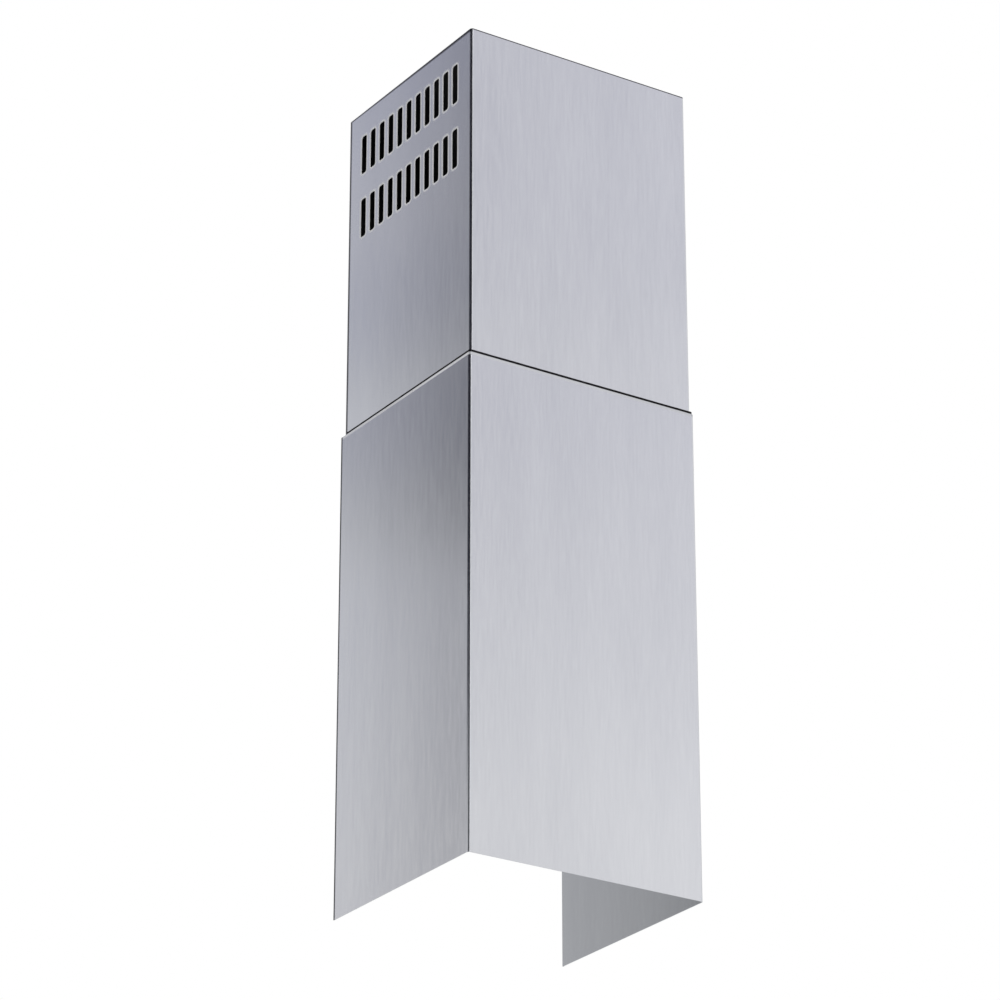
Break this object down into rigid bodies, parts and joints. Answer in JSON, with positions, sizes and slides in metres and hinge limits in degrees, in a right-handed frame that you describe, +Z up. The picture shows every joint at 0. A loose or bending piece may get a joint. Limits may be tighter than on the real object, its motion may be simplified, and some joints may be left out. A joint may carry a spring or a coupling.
{
  "type": "cooker hood chimney cover",
  "caption": "Telescoping chimney cover for a wall-mounted cooker hood: folded stainless covers, slotted vents, wall bracket and an inner air deflector.",
  "frame": {"origin": "centre of the object's box in plan, at the foot of the lower cover, where it stands on the hood", "axes": "+Z up along the chimney, +Y towards the wall, -Y the front face, +X to the right seen from the front"},
  "size_m": [0.25, 0.225, 0.82],
  "materials": {
    "brushed_stainless": "brushed along its height",
    "black_felt": "needled felt tape",
    "zinc_plated_steel": "zinc plated, satin",
    "black_plastic": "moulded, fine grain",
    "screw_steel": "bright zinc"
  },
  "bodies": {
    "upper_section": {"upper_cover": "brushed_stainless", "wall_bracket": "zinc_plated_steel", "air_deflector": "black_plastic", "outlet_sleeve_left": "black_plastic", "outlet_sleeve_right": "black_plastic", "deflector_screws": "screw_steel"},
    "lower_section": {"lower_cover": "brushed_stainless", "felt_tape": "black_felt"}
  },
  "joints": [
    {"name": "lower_slide", "type": "slide", "parent": "upper_section", "child": "lower_section", "axis": [0, 0, 1], "range_m": [0, 0.337]}
  ]
}
